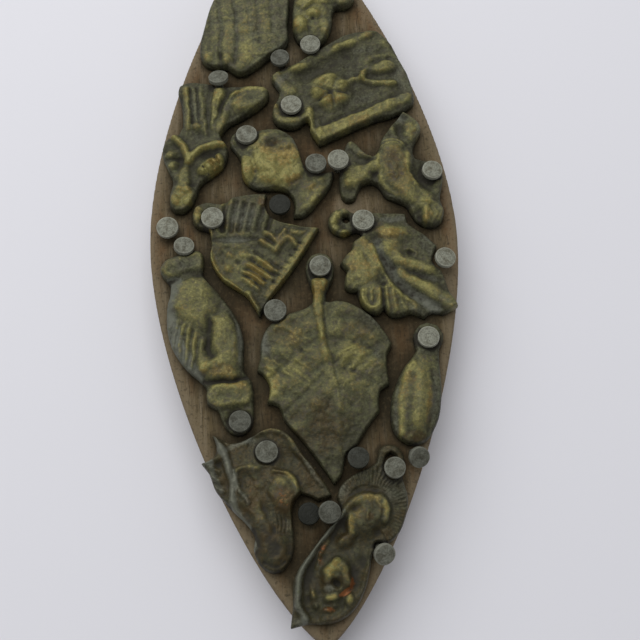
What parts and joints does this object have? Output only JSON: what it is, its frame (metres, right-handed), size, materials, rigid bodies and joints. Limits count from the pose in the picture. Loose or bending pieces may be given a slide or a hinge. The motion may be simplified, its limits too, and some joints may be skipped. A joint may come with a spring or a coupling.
{
  "type": "butter print board",
  "caption": "Pointed-oval wooden print board whose face is covered with small cast brass relief charms nailed down side by side; pressed face down, it prints their relief into butter.",
  "frame": {"origin": "centre of the board's back face, on the surface it rests on", "axes": "+Z out of the charm face, +Y along the board's length towards the corn ear's end, +X to the right"},
  "size_m": [0.067, 0.172, 0.015],
  "materials": {
    "board_wood": "worn mid-brown hardwood with reddish grain and dark handling grime, dull",
    "charm_brass": "old cast brass, dark olive-brown patina in the hollows, rubbed to gold on the high spots",
    "nail_steel": "plain steel wire nails, grey and pitted, some blackened"
  },
  "bodies": {
    "root": {"board": "board_wood", "corn_ear": "charm_brass", "berry_cluster": "charm_brass", "acorn": "charm_brass", "rose_panel": "charm_brass", "tied_sheaf": "charm_brass", "fish": "charm_brass", "leaping_hare": "charm_brass", "pennant": "charm_brass", "clasped_hands": "charm_brass", "toothed_leaf": "charm_brass", "vine_leaf": "charm_brass", "pod": "charm_brass", "horse_head": "charm_brass", "bonnet_doll": "charm_brass", "nail_01": "nail_steel", "nail_02": "nail_steel", "nail_03": "nail_steel", "nail_04": "nail_steel", "nail_05": "nail_steel", "nail_06": "nail_steel", "nail_07": "nail_steel", "nail_08": "nail_steel", "nail_09": "nail_steel", "nail_10": "nail_steel", "nail_11": "nail_steel", "nail_12": "nail_steel", "nail_13": "nail_steel", "nail_14": "nail_steel", "nail_15": "nail_steel", "nail_16": "nail_steel", "nail_17": "nail_steel", "nail_18": "nail_steel", "nail_19": "nail_steel", "nail_20": "nail_steel", "nail_21": "nail_steel", "nail_22": "nail_steel", "nail_23": "nail_steel", "nail_24": "nail_steel", "nail_25": "nail_steel", "nail_26": "nail_steel", "nail_27": "nail_steel", "nail_28": "nail_steel"}
  },
  "joints": []
}
